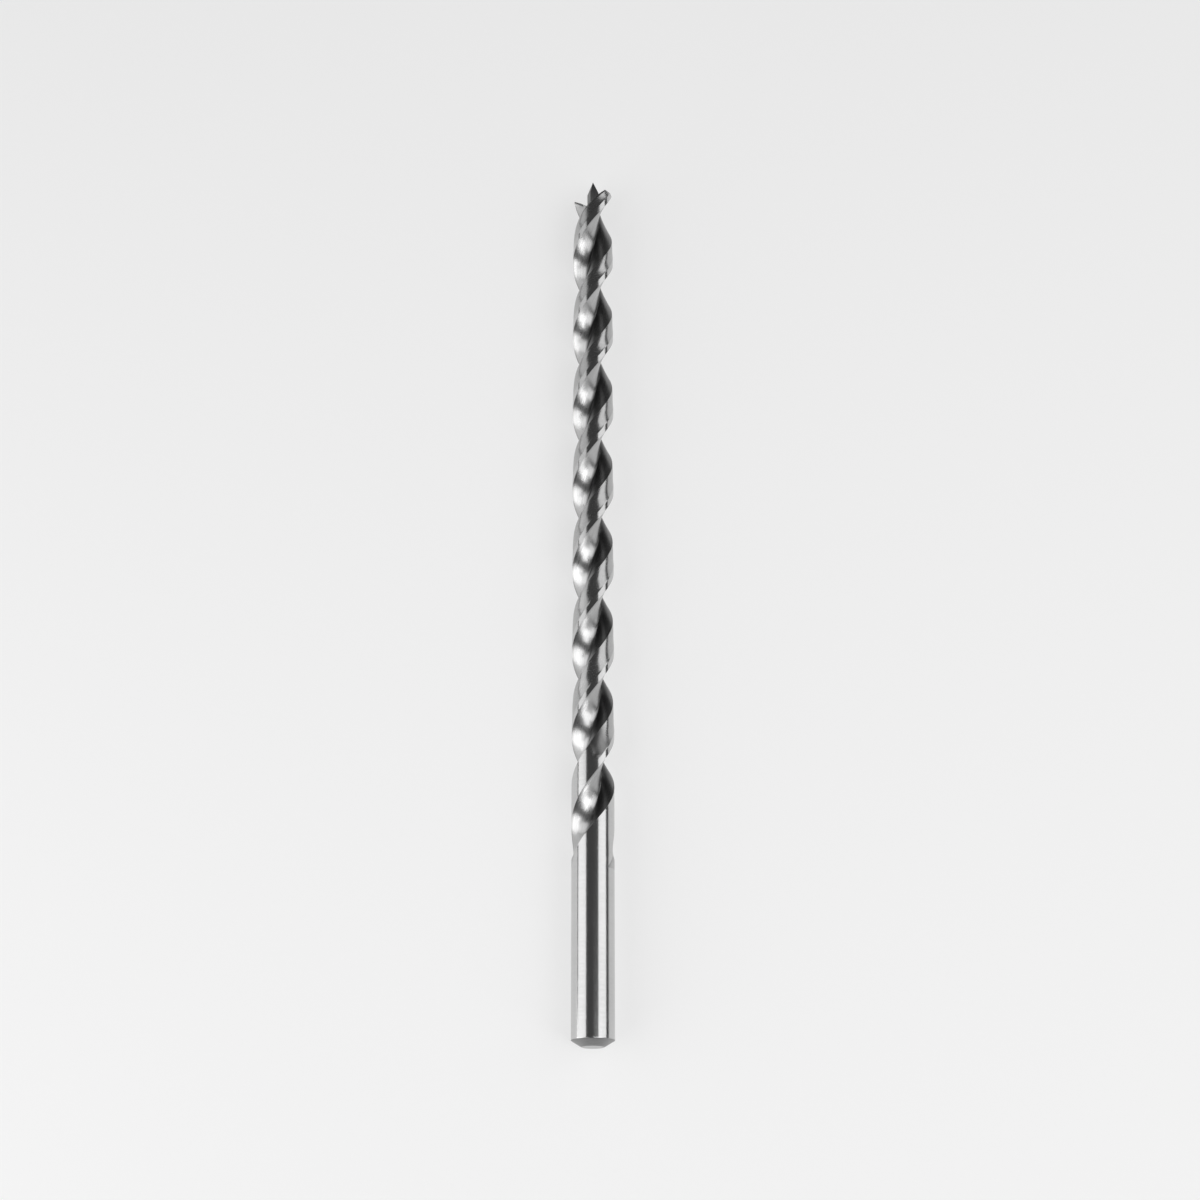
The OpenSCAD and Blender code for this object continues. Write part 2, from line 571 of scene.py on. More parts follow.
@dataclass
class FlutedBody:
    """The fluted body with its lands, spurs and brad point, in millimetres and degrees.

    Attributes:
        bit_d: Cutting diameter over the margins.
        overall_l: Length from the shank's end face to the brad's apex.
        flute_l: Length from the apex to where the flutes run out.
        helix_lead: Length of one full turn of a flute, right hand.
        phase: Angle of the leading edge at y = 0, from +Z towards +X.
        flute_stretch: Length along a flute for each length along the axis.
        web_d: Core thickness at the point.
        web_gain: Outward shift of the flute walls over each 100 mm behind the point.
        root_gain: Shift of the root down the face wall over each 100 mm behind the point.
        flute_angle: Angle that one flute spans at the point.
        root_angle: Angle from the leading edge to the root.
        face_wall_r: Radius of the wall under the cutting face.
        face_wall_l: Length of that wall at the point, from the leading edge to the root.
        heel_wall_r: Radius of the rolled heel wall.
        root_blend: Rounding of the root.
        inside_angle: Angle past the root that surely lies in the flute.
        inside_shift: Share of the way to the run-out's direction that this angle moves.
        least_half: Least angle from there to each edge of the flute.
        runout_l: Length over which the flutes rise to the surface.
        runout_angle: Direction in which they rise, from the leading edge.
        runout_turn: Turn by which they straighten while they rise.
        runout_power: Power of the rise: a higher one rises later.
        margin_angle: Angle of the full-diameter margin behind the leading edge.
        margin_edge: Angle of the fine edge between step and margin.
        step_angle: Angle of the step from the land up to the margin.
        seam_l: Length from the margin's last point to the next leading edge, on the lay's map.
        clearance: Depth of the body clearance.
        heel_fall: Further fall of the land at its heel.
        heel_fall_w: Share of the land over which it falls.
        fillet_rise: Rise of the land towards the step.
        fillet_from: Place over the land where that rise starts.
        wave_depth: Depth of the wheel's long waves.
        wave_calm_w: Share of the land, by the margin, over which the waves die out.
        clearance_heel_y: Place where the clearance ends at the heel.
        clearance_margin_y: Place where the clearance ends at the margin.
        clearance_slant_w: Share of the land over which its end slants between the two.
        clearance_fade_l: Length over which the clearance fades out.
        chatter_mm: Distance between chatter marks.
        chatter_slant: Slant of the marks over the land, as a share of that distance.
        chatter_depth: Depth of the chatter marks.
        chatter_fall: Further fall of the chattered patch at the heel.
        chatter_l: Length of the chattered patch.
        chatter_start: Share of that length over which the marks set in.
        chatter_stop: Share of that length over which the marks die out.
        land_dullness: Share of dullness of the relieved land.
        land_dull_l: Length over which that dullness sets in.
        brad_h: Height of the brad's pyramid.
        brad_w: Width over the corners of the brad's square base.
        brad_turn: Turn of the brad's square about the axis.
        spur_drop: Depth of the spur tips below the apex.
        lip_slope: Fall of the lips from the spurs towards the brad.
        flank_slope: Fall of the flank behind each lip.
        front_slope: Fall of the short facet in front of each lip.
        lip_back: Angle of each lip behind the leading edge.
        point_l: Length behind the apex in which the spurs' rims lie.
        rim_w: Width of the rounded rim of a spur.
        rim_drop: How far the rim is drawn in.
        rim_from_r: Distance from the axis where the rounding starts.
        rim_fade_r: Distance over which it becomes full.
        rim_inner: Share of the radius within which there is no rim.
        rim_dulling: How steeply the darkening and roughening rise towards the rim.
        flute_n: Steps across a flute.
        outline_n: Points at which a flute's outline is measured.
        land_n: Steps across a land.
        step_n: Steps up to the margin.
        margin_n: Steps across a margin.
        spans: Stretches along the axis, the last one with the point.
    """

    bit_d: float = 7.0
    overall_l: float = 152.4
    flute_l: float = 122.5
    helix_lead: float = 28.37
    phase: float = -19.18
    flute_stretch: float = 1.27
    web_d: float = 1.8
    web_gain: float = 0.53
    root_gain: float = 0.75
    flute_angle: float = 127.0
    root_angle: float = 57.0
    face_wall_r: float = 9.2
    face_wall_l: float = 3.1
    heel_wall_r: float = 2.85
    root_blend: float = 0.22
    inside_angle: float = 4.0
    inside_shift: float = 0.4
    least_half: float = 26.0
    runout_l: float = 11.3
    runout_angle: float = 115.0
    runout_turn: float = 6.5
    runout_power: float = 2.6
    margin_angle: float = 16.5
    margin_edge: float = 0.3
    step_angle: float = 2.5
    seam_l: float = 0.15
    clearance: float = 0.10
    heel_fall: float = 0.075
    heel_fall_w: float = 0.45
    fillet_rise: float = 0.07
    fillet_from: float = 0.5
    wave_depth: float = 0.003
    wave_calm_w: float = 0.25
    clearance_heel_y: float = 47.85
    clearance_margin_y: float = 45.75
    clearance_slant_w: float = 0.68
    clearance_fade_l: float = 1.2
    chatter_mm: float = 0.38
    chatter_slant: float = 0.35
    chatter_depth: float = 0.007
    chatter_fall: float = 0.10
    chatter_l: float = 5.0
    chatter_start: float = 0.2
    chatter_stop: float = 0.4
    land_dullness: float = 0.3
    land_dull_l: float = 1.0
    brad_h: float = 2.35
    brad_w: float = 2.15
    brad_turn: float = -24.0
    spur_drop: float = 2.7
    lip_slope: float = 36.0
    flank_slope: float = 37.0
    front_slope: float = 6.0
    lip_back: float = 40.0
    point_l: float = 8.0
    rim_w: float = 0.42
    rim_drop: float = 0.13
    rim_from_r: float = 2.4
    rim_fade_r: float = 0.8
    rim_inner: float = 0.5
    rim_dulling: float = 1.8
    flute_n: int = 40
    outline_n: int = 600
    land_n: int = 18
    step_n: int = 2
    margin_n: int = 5
    spans: tuple[Span, ...] = (
        (28.2, 29.0, 3),
        (29.0, 41.0, 80),
        (41.0, 45.0, 18),
        (45.0, 52.0, 78),
        (52.0, 146.0, 314),
        (146.0, 152.8, 56),
    )

    def __post_init__(self) -> None:
        """Works out where the flute runs out and the lift that clears it."""
        self.radius = self.bit_d / 2
        self.runout_y = self.overall_l - self.flute_l
        self.lift_y = self.runout_y + self.runout_l
        self.half_n = self.flute_n + 1 + self.land_n + self.step_n + self.margin_n
        low, high = 0.0, self.bit_d
        angles = np.arange(self.root_angle, self.runout_angle + LIFT_REACH, LIFT_STEP)
        for _ in range(LIFT_HALVINGS):
            lift = (low + high) / 2
            clear = self._flute_r(angles, self._walls(self.runout_y, lift)).min() >= self.radius
            low, high = (low, lift) if clear else (lift, high)
        self.full_lift = high

    @staticmethod
    def _polar(r: float, degrees: float) -> np.ndarray:
        """Point at radius r and an angle from the leading edge."""
        return np.array([r * math.sin(math.radians(degrees)), r * math.cos(math.radians(degrees))])

    @staticmethod
    def _wall_centre(p: np.ndarray, q: np.ndarray, r: float) -> np.ndarray:
        """Finds the centre of a round wall through two points, with the metal inside.

        Args:
            p: First point of the wall.
            q: Second point of the wall.
            r: Radius of the wall.

        Returns:
            The centre.
        """
        half = np.linalg.norm(q - p) / 2
        side = np.array([q[1] - p[1], p[0] - q[0]]) / (2 * half)
        return (p + q) / 2 + side * math.sqrt(max(r * r - half * half, 0.0))

    def _behind(self, y: float) -> float:
        """Distance behind the point, in hundreds of millimetres."""
        return max(self.overall_l - y, 0.0) / 100.0

    def _walls(self, y: float, lift: float) -> list[Wall]:
        """Finds the two round walls of the flute: towards the shank its web and its face grow.

        Args:
            y: Place along the axis.
            lift: How far the walls have risen in the run-out.

        Returns:
            The face wall and the heel wall.
        """
        lead, root = self._polar(self.radius, 0.0), self._polar(self.web_d / 2, self.root_angle)
        heel = self._polar(self.radius - self.clearance, self.flute_angle)
        down = (root - lead) / np.linalg.norm(root - lead)
        deep = root + self.root_gain * self._behind(y) * down
        moved = self.web_gain * self._behind(y) * self._polar(1.0, self.flute_angle / 2)
        moved = moved + lift * self._polar(1.0, self.runout_angle)
        face_c = self._wall_centre(lead, root, self.face_wall_r) + moved
        heel_c = self._wall_centre(deep, heel, self.heel_wall_r) + moved
        return [(face_c, self.face_wall_r), (heel_c, self.heel_wall_r)]

    def _rise(self, y: float) -> float:
        """Share of the run-out lift at y, from 0 above the run-out."""
        return (max(self.lift_y - y, 0.0) / self.runout_l) ** self.runout_power

    def _flute_r(self, angles: np.ndarray, walls: list[Wall]) -> np.ndarray:
        """Measures from the axis to the flute's floor along some angles.

        Args:
            angles: Angles from the leading edge at the point.
            walls: The two walls of the flute.

        Returns:
            One distance for each angle.
        """
        rays = np.stack([np.sin(np.radians(angles)), np.cos(np.radians(angles))], -1)
        reach = []
        for centre, r in walls:
            along = rays @ centre
            reach.append(along + np.sqrt(np.maximum(along**2 + r * r - centre @ centre, 0.0)))
        gap = reach[0] - reach[1]
        return (reach[0] + reach[1] + np.sqrt(gap**2 + self.root_blend**2)) / 2

    def _edge(self, outside: float, inside: float, r: float, walls: list[Wall]) -> float:
        """Finds the angle at which the flute reaches a radius.

        Args:
            outside: Angle on the land.
            inside: Angle in the flute.
            r: Radius of the land there.
            walls: The two walls of the flute.

        Returns:
            The angle of the edge.
        """
        for _ in range(EDGE_HALVINGS):
            middle = (outside + inside) / 2
            if self._flute_r(np.array([middle]), walls)[0] > r:
                outside = middle
            else:
                inside = middle
        return (outside + inside) / 2

    def _relief(self, y: float, across: np.ndarray) -> np.ndarray:
        """Works out how deep the land lies, with the waves and chatter that its wheel has left.

        Args:
            y: Place along the axis.
            across: Places over the land, from 0 at the heel to 1 at the margin.

        Returns:
            One depth for each place.
        """
        falls = np.maximum(1.0 - across / self.heel_fall_w, 0.0) ** 2
        climbs = np.maximum((across - self.fillet_from) / (1.0 - self.fillet_from), 0.0) ** 2
        full = self.clearance + self.heel_fall * falls - self.fillet_rise * climbs
        waves = np.zeros_like(across)
        for strength, over, along in LAND_WAVES:
            waves += strength * np.sin(2 * math.pi * (over * across + along * y))
        calm = np.minimum(1.0, (1.0 - across) / self.wave_calm_w)
        chatter = self._chatter(y, across)
        full = full + self.wave_depth * waves * calm
        full = full + self.chatter_fall * chatter * (1.0 - across)
        fade = np.clip((y - self._relief_end(across)) / self.clearance_fade_l, 0.0, 1.0)
        fade = fade * fade * (3.0 - 2.0 * fade)
        ripple = np.sin(2 * math.pi * (y / self.chatter_mm + self.chatter_slant * across))
        return full * fade + self.chatter_depth * chatter * ripple

    def _relief_end(self, across: np.ndarray) -> np.ndarray:
        """Places along the axis where the body clearance ends, for places over the land."""
        fall = (self.clearance_heel_y - self.clearance_margin_y) / self.clearance_slant_w
        return np.maximum(self.clearance_heel_y - fall * across, self.clearance_margin_y)

    def _chatter(self, y: float, across: np.ndarray) -> np.ndarray:
        """Works out how strongly the wheel chattered where it was lifted off the land.

        Args:
            y: Place along the axis.
            across: Places over the land, from 0 at the heel to 1 at the margin.

        Returns:
            One strength from 0 to 1 for each place.
        """
        past = (y - self._relief_end(across)) / self.chatter_l
        starts = np.clip(past / self.chatter_start, 0.0, 1.0)
        return starts * np.clip((1.0 - past) / self.chatter_stop, 0.0, 1.0)

    def _dullness(self, y: float, across: np.ndarray) -> np.ndarray:
        """Share of dullness on the land, up to 1 where the wheel chattered."""
        relieved = np.clip((y - self._relief_end(across)) / self.land_dull_l, 0.0, 1.0)
        return np.maximum(self.land_dullness * relieved, self._chatter(y, across))

    def _flute_outline(
        self, first: float, last: float, low: float, walls: list[Wall]
    ) -> tuple[np.ndarray, np.ndarray, np.ndarray]:
        """Spaces points evenly along the outline of the flute.

        Args:
            first: Angle of the leading edge.
            last: Angle of the heel.
            low: Radius of the land at the heel.
            walls: The two walls of the flute.

        Returns:
            Radii, angles and lengths from the leading edge.
        """
        angles = np.linspace(first, last, self.outline_n)
        radii = np.minimum(self._flute_r(angles, walls), self.radius)
        radii[0], radii[-1] = self.radius, low
        x, z = radii * np.sin(np.radians(angles)), radii * np.cos(np.radians(angles))
        run = np.concatenate([[0.0], np.cumsum(np.hypot(np.diff(x), np.diff(z)))])
        lengths = np.linspace(0.0, run[-1], self.flute_n + 1)
        return np.interp(lengths, run, radii), np.interp(lengths, run, angles), lengths

    def section(self, y: float) -> HalfSection:
        """Works out half of the cross-section at y: flute, land, step and margin.

        Args:
            y: Place along the axis.

        Returns:
            The half section, turned to its place on the helix.
        """
        rise = self._rise(y)
        walls = self._walls(y, self.full_lift * rise)
        inside = self.root_angle + self.inside_angle
        inside += (self.runout_angle - inside) * self.inside_shift * min(rise, 1.0)
        low = self.radius - float(self._relief(y, np.zeros(1))[0])
        first = min(self._edge(LAND_AHEAD, inside, self.radius, walls), inside - self.least_half)
        last = max(self._edge(LAND_BEHIND, inside, low, walls), inside + self.least_half)
        flute_r, flute_a, lengths = self._flute_outline(first, last, low, walls)
        margin = first + 180.0 - self.margin_angle
        across = np.linspace(0.0, 1.0, self.land_n + 1)
        land_a = last + (margin - self.step_angle - last) * across[1:]
        land_r = self.radius - self._relief(y, across[1:])
        up = np.linspace(0.0, 1.0, self.step_n + 1)[1:]
        step_a = margin - self.step_angle * (1.0 - up)
        step_r = self.radius - (self.radius - land_r[-1]) * (1.0 - up)
        margin_a = np.linspace(margin, first + 180.0, self.margin_n + 1)[:-1]
        margin_a[0] = margin + self.margin_edge
        beyond_a = np.concatenate([land_a, step_a, margin_a])
        beyond_r = np.concatenate([land_r, step_r, np.full(self.margin_n, self.radius)])
        beyond = lengths[-1] + np.radians(beyond_a - last) * self.radius
        # The lengths grow with the face wall, so that the flute's painted shade stays at the root.
        growth = 1.0 + self.root_gain * self._behind(y) / self.face_wall_l
        dullness = np.zeros(self.half_n)
        dullness[self.flute_n : self.flute_n + 1 + self.land_n] = self._dullness(y, across)
        turn = self.phase + 360.0 * y / self.helix_lead
        turn += self.runout_turn * max(self.lift_y - y, 0.0) / self.runout_l
        return HalfSection(
            radii=np.concatenate([flute_r, beyond_r]),
            angles=np.concatenate([flute_a, beyond_a]) + turn,
            lengths=np.concatenate([lengths, beyond]) / growth,
            dullness=dullness,
        )

    def _blank(self, spans: tuple[Span, ...]) -> bpy.types.Mesh:
        """Screws a ring along the helix and grinds the flutes and lands into it.

        Args:
            spans: Stretches along the axis.

        Returns:
            Closed mesh of that length of the fluted blank, with the lay as UV map.
        """
        bm = bmesh.new()
        upright = Matrix.Rotation(math.radians(-90), 3, "X")
        bmesh.ops.create_circle(
            bm, cap_ends=False, segments=2 * self.half_n, radius=self.radius * MM
        )
        bmesh.ops.rotate(bm, verts=bm.verts, cent=(0, 0, 0), matrix=upright)
        bmesh.ops.translate(bm, verts=bm.verts, vec=(0, spans[0][0] * MM, 0))
        edges = list(bm.edges)
        bmesh.ops.holes_fill(bm, edges=edges, sides=0)
        for start, end, steps in spans:
            grown = bmesh.ops.spin(
                bm,
                geom=edges,
                cent=(0, 0, 0),
                axis=(0, 1, 0),
                dvec=(0, (end - start) / steps * MM, 0),
                angle=math.radians(360.0 * (end - start) / self.helix_lead),
                steps=steps,
                use_merge=False,
            )
            edges = [item for item in grown["geom_last"] if isinstance(item, bmesh.types.BMEdge)]
        bmesh.ops.holes_fill(bm, edges=edges, sides=0)
        self._grind(bm, spans[0][0])
        bmesh.ops.recalc_face_normals(bm, faces=bm.faces)
        return mesh_from("fluted_blank", bm)

    def _grind(self, bm: bmesh.types.BMesh, base: float) -> None:
        """Moves each point of the screwed ring onto the ground section at its place.

        Args:
            bm: The screwed ring.
            base: Place of the first ring along the axis.
        """
        lay = bm.loops.layers.uv.new(LAY_MAP)
        dull = bm.verts.layers.float.new(DULL_LAYER)
        sections: dict[int, HalfSection] = {}
        places: dict[bmesh.types.BMVert, tuple[int, int]] = {}
        count = 2 * self.half_n
        step = 2 * math.pi / count
        for vert in bm.verts:
            y = vert.co.y / MM
            key = round(y * KEYS_PER_MM)
            turn = math.atan2(vert.co.x, vert.co.z) - 2 * math.pi * (y - base) / self.helix_lead
            half, index = divmod(round(turn / step) % count, self.half_n)
            if key not in sections:
                sections[key] = self.section(y)
            section = sections[key]
            reach = section.radii[index]
            angle = math.radians(section.angles[index] + 180.0 * half)
            spot = Vector((reach * math.sin(angle), y, reach * math.cos(angle)))
            vert.co = self._honed(spot) * MM
            vert[dull] = section.dullness[index]
            places[vert] = (key, index)
        for face in bm.faces:
            indices = [places[vert][1] for vert in face.verts]
            wraps = max(indices) - min(indices) > self.half_n // 2
            numbers = [self.half_n if wraps and index == 0 else index for index in indices]
            in_flute = max(numbers) <= self.flute_n and len(numbers) == 4
            face.material_index = BodyFace.FLUTE if in_flute else BodyFace.LAND
            for loop, number in zip(face.loops, numbers):
                key, index = places[loop.vert]
                lengths = sections[key].lengths
                across = lengths[index] if number < self.half_n else lengths[-1] + self.seam_l
                loop[lay].uv = (across * MM, key / KEYS_PER_MM * self.flute_stretch * MM)

    def _lip_turn(self) -> float:
        """Angle of the first lip about the axis."""
        spur_y = self.overall_l - self.spur_drop
        return self.phase + 360.0 * spur_y / self.helix_lead - self.lip_back

    def _rim(self, spot: Vector) -> float:
        """Tells how near a place is to the ground point, from 0 well below it to 1 on it.

        Args:
            spot: Place in millimetres.

        Returns:
            Share that rises over the width of the rim.
        """
        reach = math.hypot(spot.x, spot.z)
        if spot.y < self.overall_l - self.point_l or reach < self.rim_inner * self.radius:
            return 0.0
        turn = math.radians(self._lip_turn())
        out = spot.x * math.sin(turn) + spot.z * math.cos(turn)
        aside = spot.x * math.cos(turn) - spot.z * math.sin(turn)
        if out < 0.0:
            out, aside = -out, -aside
        fall = self.front_slope if aside > 0.0 else self.flank_slope
        top = self.overall_l - self.spur_drop - abs(aside) * math.tan(math.radians(fall))
        top += (out - self.radius) * math.tan(math.radians(self.lip_slope))
        return min(max(1.0 - (top - spot.y) / self.rim_w, 0.0), 1.0)

    def _honed(self, spot: Vector) -> Vector:
        """Draws a place on the blank inward where the rim of a spur is rounded.

        Args:
            spot: Place in millimetres.

        Returns:
            The place on the rounded rim.
        """
        rim = self._rim(spot)
        if rim <= 0.0:
            return spot
        reach = math.hypot(spot.x, spot.z)
        outer = min(max((reach - self.rim_from_r) / self.rim_fade_r, 0.0), 1.0)
        share = 1.0 - self.rim_drop * rim * rim * outer / reach
        return Vector((spot.x * share, spot.y, spot.z * share))

    def _lip_room(self) -> bmesh.types.BMesh:
        """Makes the room under one lip: a gable with the lip as its ridge.

        Returns:
            The closed gable, in metres.
        """
        reach = self.bit_d
        spur_y = self.overall_l - self.spur_drop
        outline = (
            (0.0, 0.0),
            (reach, -reach * math.tan(math.radians(self.front_slope))),
            (reach, -ROOM_DEPTH),
            (-reach, -ROOM_DEPTH),
            (-reach, -reach * math.tan(math.radians(self.flank_slope))),
        )
        bm = bmesh.new()
        face = bm.faces.new([bm.verts.new((x, y, -LAP_MM)) for x, y in outline])
        grown = bmesh.ops.extrude_face_region(bm, geom=[face])
        verts = [item for item in grown["geom"] if isinstance(item, bmesh.types.BMVert)]
        bmesh.ops.translate(bm, verts=verts, vec=(0, 0, reach))
        slant = Matrix.Identity(4)
        slant[1][2] = math.tan(math.radians(self.lip_slope))
        lift = Matrix.Translation((0, spur_y - self.radius * slant[1][2], 0))
        spin = Matrix.Rotation(math.radians(self._lip_turn()), 4, "Y")
        shrunk = Matrix.Scale(MM, 4)
        bmesh.ops.transform(bm, matrix=shrunk @ spin @ lift @ slant, verts=bm.verts)
        bmesh.ops.recalc_face_normals(bm, faces=bm.faces)
        return bm

    def _brad_room(self) -> bmesh.types.BMesh:
        """Makes the brad: a square pyramid on a square stem.

        Returns:
            The closed brad, in metres.
        """
        bm = bmesh.new()
        bmesh.ops.create_cone(
            bm,
            cap_ends=True,
            segments=4,
            radius1=self.brad_w / 2,
            radius2=0.0,
            depth=self.brad_h,
        )
        bmesh.ops.remove_doubles(bm, verts=bm.verts, dist=MERGE_MM)
        base = min(bm.faces, key=lambda face: face.calc_center_median().z)
        grown = bmesh.ops.extrude_face_region(bm, geom=[base])
        verts = [item for item in grown["geom"] if isinstance(item, bmesh.types.BMVert)]
        bmesh.ops.translate(bm, verts=verts, vec=(0, 0, -self.spur_drop - self.radius))
        bmesh.ops.delete(bm, geom=[base], context="FACES_ONLY")
        stand = Matrix.Rotation(math.radians(-90), 4, "X")
        spin = Matrix.Rotation(math.radians(self.brad_turn), 4, "Y")
        lift = Matrix.Translation((0, self.overall_l - self.brad_h / 2, 0))
        shrunk = Matrix.Scale(MM, 4)
        bmesh.ops.transform(bm, matrix=shrunk @ spin @ lift @ stand, verts=bm.verts)
        bmesh.ops.recalc_face_normals(bm, faces=bm.faces)
        return bm

    @staticmethod
    def _cut(target: bpy.types.Object, tool: bpy.types.Object, left: PointCut) -> None:
        """Cuts or joins one solid with another, and removes the second.

        Args:
            target: Solid that stays.
            tool: Solid that is used up.
            left: What is left of the two.
        """
        boolean = target.modifiers.new("point_grind", "BOOLEAN")
        boolean.operation = left.value
        boolean.solver = "EXACT"
        boolean.object = tool
        graph = bpy.context.evaluated_depsgraph_get()
        made = bpy.data.meshes.new_from_object(target.evaluated_get(graph))
        target.modifiers.clear()
        target.data = made
        bpy.data.objects.remove(tool)

    def _joined(self, body: bpy.types.Mesh, point: bpy.types.Mesh) -> bpy.types.Mesh:
        """Joins the cut point end to the rest of the body and sets smooth shading over the whole.

        Args:
            body: Blank from the weld to the point end.
            point: Point end, cut to spurs and brad.

        Returns:
            The whole body.
        """
        seam, gap = self.spans[-1][0] * MM, SEAM_GAP_MM * MM
        bm = bmesh.new()
        bm.from_mesh(body)
        bm.from_mesh(point)
        caps = [f for f in bm.faces if all(abs(v.co.y - seam) < gap for v in f.verts)]
        bmesh.ops.delete(bm, geom=caps, context="FACES_ONLY")
        bmesh.ops.remove_doubles(bm, verts=bm.verts, dist=MERGE_MM * MM)
        dull = bm.verts.layers.float[DULL_LAYER]
        # The dullness layer rises towards the rim of each spur: darker, rougher metal there.
        for vert in bm.verts:
            rim = self.rim_dulling * self._rim(vert.co / MM)
            vert[dull] = max(vert[dull], min(rim, 1.0))
        crease(bm)
        return mesh_from("ground_fluted_body", bm)

    def build(self) -> bpy.types.Object:
        """Builds the fluted body: the blank, cut to the spurs and the brad.

        Returns:
            The finished piece.
        """
        finishes = [GROUND_FLUTE.material(), GROUND_ROUND.material(), GROUND_POINT.material()]
        point = new_piece("point_end", self._blank(self.spans[-1:]), finishes)
        rooms = [self._lip_room(), self._lip_room(), self._brad_room()]
        half_turn = Matrix.Rotation(math.pi, 3, "Y")
        bmesh.ops.rotate(rooms[1], verts=rooms[1].verts, cent=(0, 0, 0), matrix=half_turn)
        solids = []
        for number, bm in enumerate(rooms):
            for face in bm.faces:
                face.material_index = BodyFace.POINT
            mesh = mesh_from("point_room", bm)
            solids.append(new_piece(f"point_room_{number}", mesh, finishes))
        self._cut(solids[0], solids[1], PointCut.BOTH)
        self._cut(solids[0], solids[2], PointCut.BOTH)
        self._cut(point, solids[0], PointCut.COMMON)
        mesh = self._joined(self._blank(self.spans[:-1]), point.data)
        bpy.data.objects.remove(point)
        return new_piece("ground_fluted_body", mesh, finishes)

    def dress(self, piece: bpy.types.Object) -> None:
        """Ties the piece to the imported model, where it stands for the fluted body's solid.

        Args:
            piece: The built piece.
        """
        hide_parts("fluted_body")
        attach(piece, "root")


@dataclass
class Shank:
    """The plain round shank with its turned end, in millimetres.

    Attributes:
        shank_d: Diameter.
        shank_l: Length from the end face to the weld with the fluted body.
        chamfer_l: Length of the end chamfer along the axis.
        end_face_d: Diameter of the flat end face.
        edge_r: Rounding of the edges on both sides of the chamfer.
        edge_reach: How far that rounding reaches past an edge, as a multiple of its size.
        collar_l: Short ring behind the chamfer that keeps the shading of the side straight.
        end_skin: Height under which a face belongs to the end face.
        around_n: Steps round the shank.
        along_n: Cuts along its side.
        edge_n: Steps over a rounded edge.
    """

    shank_d: float = 7.0
    shank_l: float = 28.2
    chamfer_l: float = 1.05
    end_face_d: float = 3.6
    edge_r: float = 0.05
    edge_reach: float = 1.2
    collar_l: float = 0.15
    end_skin: float = 0.02
    around_n: int = 160
    along_n: int = 40
    edge_n: int = 4

    def build(self) -> bpy.types.Object:
        """Turns the shank's profile and rounds its two edges.

        Returns:
            The finished piece.
        """
        profile = (
            (0.0, 0.0),
            (self.end_face_d / 2, 0.0),
            (self.shank_d / 2, self.chamfer_l),
            (self.shank_d / 2, self.chamfer_l + self.collar_l),
            (self.shank_d / 2, self.shank_l),
            (0.0, self.shank_l),
        )
        bm = bmesh.new()
        verts = [bm.verts.new((x * MM, y * MM, 0.0)) for x, y in profile]
        edges = [bm.edges.new(pair) for pair in zip(verts[:-1], verts[1:])]
        side = edges[3]
        bmesh.ops.subdivide_edges(bm, edges=[side], cuts=self.along_n)
        bmesh.ops.spin(
            bm,
            geom=list(bm.verts) + list(bm.edges),
            cent=(0, 0, 0),
            axis=(0, 1, 0),
            dvec=(0, 0, 0),
            angle=2 * math.pi,
            steps=self.around_n,
            use_merge=True,
        )
        bmesh.ops.remove_doubles(bm, verts=bm.verts, dist=MERGE_MM * MM)
        bmesh.ops.recalc_face_normals(bm, faces=bm.faces)
        self._round_edges(bm)
        side_from = (self.chamfer_l + self.edge_reach * self.edge_r) * MM
        for face in bm.faces:
            y = face.calc_center_median().y
            face.material_index = ShankFace.CHAMFER if y > self.end_skin * MM else ShankFace.END
            if y > side_from:
                face.material_index = ShankFace.SIDE
        crease(bm)
        finishes = [GROUND_ROUND.material(), TURNED_CHAMFER.material(), FACED_END.material()]
        return new_piece("ground_shank", mesh_from("ground_shank", bm), finishes)

    def _round_edges(self, bm: bmesh.types.BMesh) -> None:
        """Rounds the edges on both sides of the chamfer.

        Args:
            bm: The turned shank.
        """
        top = (self.chamfer_l + LAP_MM) * MM
        sharp = [
            edge
            for edge in bm.edges
            if len(edge.link_faces) == 2
            and edge.calc_face_angle(0.0) > math.radians(SHARP_EDGE)
            and max(vert.co.y for vert in edge.verts) < top
        ]
        bmesh.ops.bevel(
            bm,
            geom=sharp,
            offset=self.edge_r * MM,
            offset_type="OFFSET",
            affect="EDGES",
            segments=self.edge_n,
            profile=0.5,
            material=-1,
        )

    def dress(self, piece: bpy.types.Object) -> None:
        """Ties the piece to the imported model, where it stands for the shank's solid.

        Args:
            piece: The built piece.
        """
        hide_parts("shank")
        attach(piece, "root")


@dataclass(frozen=True)
class Softbox:
    """A long soft light that runs along the bit and faces it, in metres.

    Attributes:
        name: Name of the light.
        foot: Lower edge, as distance to the right of the axis and height over it.
        head: Upper edge, in the same way.
        near: Place of the end towards the shank, along Y.
        far: Place of the end towards the point, along Y.
        brightness: Radiance, where 1 is the white of the picture.
    """

    name: str
    foot: tuple[float, float]
    head: tuple[float, float]
    near: float
    far: float
    brightness: float

    def build(self) -> bpy.types.Object:
        """Puts the light into the scene.

        Returns:
            The light.
        """
        foot, head = Vector(self.foot), Vector(self.head)
        middle, rise = (foot + head) / 2, head - foot
        facing = Vector((rise.y, 0.0, -rise.x)).normalized()
        if facing.x * middle.x + facing.z * middle.y > 0.0:
            facing.negate()
        data = bpy.data.lights.new(self.name, "AREA")
        data.shape = "RECTANGLE"
        data.size = self.far - self.near
        data.size_y = rise.length
        data.energy = self.brightness * math.pi * data.size * data.size_y
        light = bpy.data.objects.new(self.name, data)
        light.location = (middle.x, (self.near + self.far) / 2, middle.y)
        light.rotation_euler = facing.to_track_quat("-Z", "Y").to_euler()
        bpy.context.scene.collection.objects.link(light)
        return light


